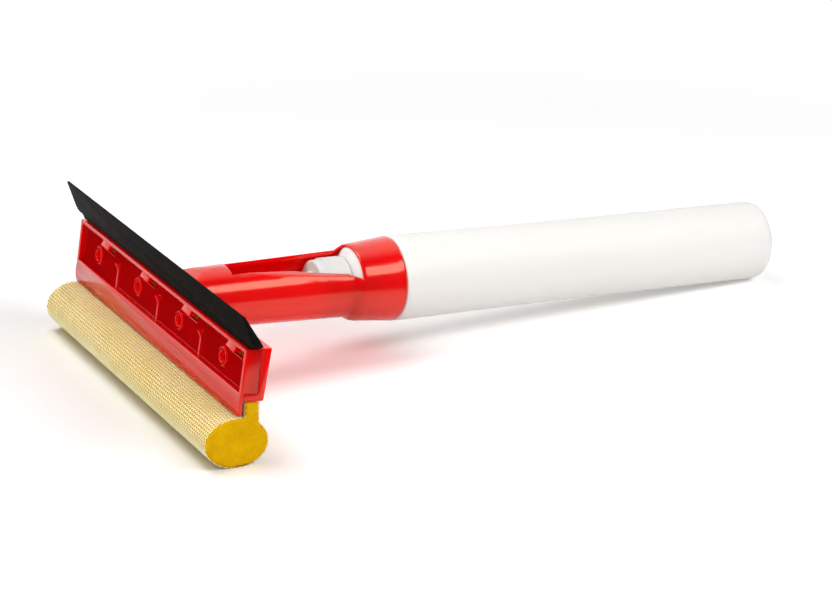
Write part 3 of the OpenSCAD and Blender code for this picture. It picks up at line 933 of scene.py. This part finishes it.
def outerWall(mouth, base):
    # From the mouth to the foot
    neck = bottle["neckRadius"]
    lip = bottle["lipRound"]
    shoulder = bottle["shoulder"]
    insert = bottle["insertStart"]
    insertRadius = bottle["insertRadius"]
    step = bottle["step"]
    gripRadius = bottle["gripRadius"]
    straight = bottle["straightRadius"]
    outer = roundCorner(mouth + lip, neck - lip, lip, start=180, end=90)
    rings = evenSteps(mouth + bottle["threadLead"], shoulder - bottle["threadTail"], bottle["threadRing"])
    outer += [(x, neck) for x in rings]
    outer += [(shoulder - bottle[end], bottle["beadRadius"]) for end in ("beadStart", "beadEnd")]
    outer += [(shoulder - bottle["beadFoot"], neck)]
    rounding = bottle["insertRound"]
    outer += roundCorner(insert, insertRadius - rounding, rounding, start=160, end=90, steps=8)
    rings = evenSteps(insert + bottle["insertRing"], step - bottle["stepEdge"], bottle["insertRing"])
    outer += [(x, insertRadius) for x in rings]
    outer += [(step, insertRadius + bottle["stepEdge"])]
    rounding = bottle["stepRound"]
    outer += roundCorner(step + rounding, gripRadius - rounding, rounding, start=180, end=90, steps=6)
    rings = evenSteps(step + rounding, bottle["straightStart"], bottle["gripRing"])[1:]
    for x in rings:
        share = (x - rings[0]) / (rings[-1] - rings[0])
        outer.append((x, gripRadius + (straight - gripRadius) * share))
    rounding = bottle["baseRound"]
    rings = evenSteps(bottle["straightStart"], base - rounding, bottle["gripRing"])[1:-1]
    outer += [(x, straight) for x in rings]
    outer += roundCorner(base - rounding, straight - rounding, rounding, start=90, end=0, steps=10)
    return outer


def innerWall(outer):
    # One wall's thickness inside the outer wall, from the insert to the foot
    inner = []
    for (x0, r0), (x1, r1) in zip(outer, outer[1:]):
        length = math.hypot(x1 - x0, r1 - r0)
        if x1 < bottle["insertStart"] - bottle["innerLead"] or length < bottle["shortestStep"]:
            continue
        inner.append((
            (x0 + x1) / 2 + (r1 - r0) / length * bottle["wall"],
            (r0 + r1) / 2 - (x1 - x0) / length * bottle["wall"],
        ))
    return inner


def makeBottle():
    mouth, base = toolSpan("bottle")
    outer = outerWall(mouth, base)
    foot = bottle["straightRadius"] - bottle["baseRound"] - bottle["footWidth"]
    slopeRise, slopeRadius = bottle["pushUpSlope"]
    baseMiddle = [
        (base - bottle["pushUp"] * bottle["pushUpEdge"], foot),
        (base - bottle["pushUp"] * slopeRise, foot * slopeRadius),
        (base - bottle["pushUp"], 0.0),
    ]
    neckBore = bottle["neckRadius"] - bottle["neckWall"]
    inside = [(x - bottle["wall"], radius) for x, radius in reversed(baseMiddle)]
    inside += reversed(innerWall(outer))
    inside += [(bottle["shoulder"] + bottle["boreLead"], neckBore), (mouth, neckBore)]
    seams = [math.radians(bottle["seamAngle"] + turn) for turn in (0, 180)]

    def lift(i, x, angle):
        # The thread on the neck, and the two seams of the mould on the rest of the outer wall
        rise = 0.0
        if i >= len(outer):
            return rise
        if x < bottle["shoulder"] - bottle["beadStart"]:
            rise = threadRise(x, angle, bottle["thread"])
        elif x > bottle["insertStart"]:
            for seam in seams:
                turn = abs((angle - seam + math.pi) % (2 * math.pi) - math.pi)
                gap = turn * bottle["straightRadius"]
                rise += bottle["seamHeight"] * math.exp(-((gap / bottle["seamWidth"]) ** 2))
        return rise

    seamAngles = [seam + math.radians(step) for seam in seams for step in bottle["seamSteps"]]
    angles = evenAngles(bottle["sides"], seamAngles)
    profile = outer + baseMiddle + inside
    return turnedPiece("milkyBottle", profile, angles, "milky_bottle", "bottle", "bottle", lift=lift)


milkyBottle = makeBottle()
lamps["throughKey"].light_linking.blocker_collection = leaveOut("throughMilkyWall", milkyBottle)
print("bottle made")

# Screw cap with its tower and pin

cap = {
    "radius": 0.0135,
    "front": 0.06356,
    "frontRadius": 0.0128,
    "frontLength": 0.0044,
    "frontRound": 0.0012,
    "ledge": 0.0002,
    "stepRound": 0.0003,
    "ribs": 72,
    "stepsPerRib": 5,
    "ribDepth": 0.00022,
    "ribCrown": 0.6,  # flatter ribs below 1
    "ribLead": 0.0009,
    "ribTail": 0.0014,
    "ribRing": 0.0012,
    "rim": 0.0796,
    "bandStart": 0.0008,  # the plain band, measured back from the rim
    "bandEnd": 0.0002,
    "bore": 0.0120,
    "boreLead": 0.0008,
    "boreRing": 0.0003,
    "endWall": 0.0018,
    "edge": 0.0003,
    "towerRadius": 0.0042,
    "towerBore": 0.0027,
    "towerTip": 0.05981,
    "towerFoot": 0.0004,
    "pinRadius": 0.00115,
    "pinTip": 0.05831,
    "pinSides": 32,
    "strutThickness": 0.001,
    "strutLength": 0.0014,
    "strutRoot": 0.6,  # in the pin, as a share of its radius
    "strutSink": 0.0004,
}


def pinMesh():
    tip = cap["pinTip"]
    radius = cap["pinRadius"]
    edge = cap["edge"]
    root = cap["front"] + cap["endWall"] - cap["strutLength"] / 2
    profile = [(tip, 0.0), (tip, radius - edge), (tip + edge, radius), (root, radius), (root, 0.0)]
    return turnedMesh(profile, evenAngles(cap["pinSides"]))


def strutMesh(turn):
    # One of the thin walls that hold the pin in the middle of the tower
    end = cap["front"] + cap["endWall"]
    half = cap["strutThickness"] / 2
    low = cap["pinRadius"] * cap["strutRoot"]
    high = cap["towerBore"] + cap["strutSink"]
    spin = Matrix.Rotation(math.radians(turn), 4, "X")
    vertices = []
    for x in (end - cap["strutLength"], end):
        for y, z in ((-half, low), (half, low), (half, high), (-half, high)):
            vertices.append(tuple(spin @ Vector((x, y, z))))
    faces = [(0, 1, 2, 3), (7, 6, 5, 4), (0, 4, 5, 1), (1, 5, 6, 2), (2, 6, 7, 3), (3, 7, 4, 0)]
    return vertices, faces


def makeCap():
    # From the tower's tip over the front, the ribs and the rim, and back along the bore
    front = cap["front"]
    end = front + cap["endWall"]
    side = front + cap["frontLength"]
    rim = cap["rim"]
    radius = cap["radius"]
    bore = cap["bore"]
    edge = cap["edge"]
    tip = cap["towerTip"]
    tower = cap["towerRadius"]
    foot = cap["towerFoot"]
    profile = [(tip, cap["towerBore"]), (tip, tower - edge), (tip + edge, tower)]
    profile += [(front - foot, tower), (front, tower + foot)]
    rounding = cap["frontRound"]
    middle = cap["frontRadius"] - rounding
    profile += roundCorner(front + rounding, middle, rounding, start=180, end=90, steps=6)
    profile += [(side - cap["ledge"], cap["frontRadius"]), (side, cap["frontRadius"] + cap["ledge"])]
    profile += [(side, radius - cap["stepRound"]), (side + cap["stepRound"], radius)]
    ribStart = len(profile)
    rings = evenSteps(side + cap["ribLead"], rim - cap["ribTail"], cap["ribRing"])
    profile += [(x, radius - cap["ribDepth"]) for x in rings]
    ribEnd = len(profile)
    profile += [(rim - cap["bandStart"], radius), (rim - cap["bandEnd"], radius), (rim, radius - edge)]
    profile += [(rim, bore + edge), (rim - edge, bore)]
    boreStart = len(profile)
    profile += [(x, bore) for x in evenSteps(rim - cap["boreLead"], end, cap["boreRing"])]
    boreEnd = len(profile)
    profile += [(end, cap["towerBore"])]
    thread = bottle["thread"]

    def lift(i, x, angle):
        # Ribs outside, and the neck's thread half a pitch on inside
        if ribStart <= i < ribEnd:
            return cap["ribDepth"] * (0.5 + 0.5 * math.cos(cap["ribs"] * angle)) ** cap["ribCrown"]
        if boreStart <= i < boreEnd:
            return -threadRise(x, angle, thread, thread["pitch"] / 2)
        return 0.0

    angles = evenAngles(cap["ribs"] * cap["stepsPerRib"])
    extras = [pinMesh()] + [strutMesh(turn) for turn in (0, 120, 240)]
    turnedPiece("screwCap", profile, angles, "white_cap", "cap", "cap", lift=lift, extras=extras)


makeCap()

# Spout that slides on the tower

spout = {
    "hole": 0.00123,
    "holeEdge": (0.0002, 0.0003),
    "endWall": 0.0013,
    "rimRadius": 0.0070,
    "rimRound": 0.0007,
    "rimLap": 0.0002,
    "waistRadius": 0.0058,
    "waistPoints": ((0.0026, 0.0001), (0.0034, 0.0)),  # on from the tip, and out from the waist
    "flarePoint": (0.0016, 0.0003),  # back from the skirt's end, and out from the waist
    "skirtRadius": 0.0076,
    "skirtPoints": ((0.0010, -0.0003), (0.0007, 0.0), (0.0001, 0.0), (0.0, -0.0001)),  # back and out
    "bore": 0.00428,
    "boreEdge": 0.0002,
    "sides": 96,
}


def makeSpout():
    tip, back = toolSpan("spout")
    hole = spout["hole"]
    bore = spout["bore"]
    rim = spout["rimRadius"]
    rounding = spout["rimRound"]
    waist = spout["waistRadius"]
    wallEnd = tip + spout["endWall"]
    edgeAlong, edgeOut = spout["holeEdge"]
    flareBack, flareOut = spout["flarePoint"]
    profile = [(tip + edgeAlong, hole), (tip, hole + edgeOut)]
    profile += roundCorner(tip + rounding, rim - rounding, rounding, start=180, end=90)
    lap = wallEnd + spout["rimLap"]
    profile += roundCorner(lap, rim - rounding / 2, rounding / 2, start=90, end=20, steps=3)
    profile += [(tip + along, waist + out) for along, out in spout["waistPoints"]]
    profile += [(back - flareBack, waist + flareOut)]
    profile += [(back - along, spout["skirtRadius"] + out) for along, out in spout["skirtPoints"]]
    profile += [(back, bore + spout["boreEdge"]), (back - spout["boreEdge"], bore)]
    profile += [(wallEnd, bore), (wallEnd, hole)]
    turnedPiece("pullSpout", profile, evenAngles(spout["sides"]), "spout_plastic", "spout", "spout")


makeSpout()

# The sealing disc keeps its own shape

seal = frame["nodes"]["cap_seal"]
seal.data.materials.clear()
seal.data.materials.append(finishes["seal_disc"])
print("cap, spout and seal made")
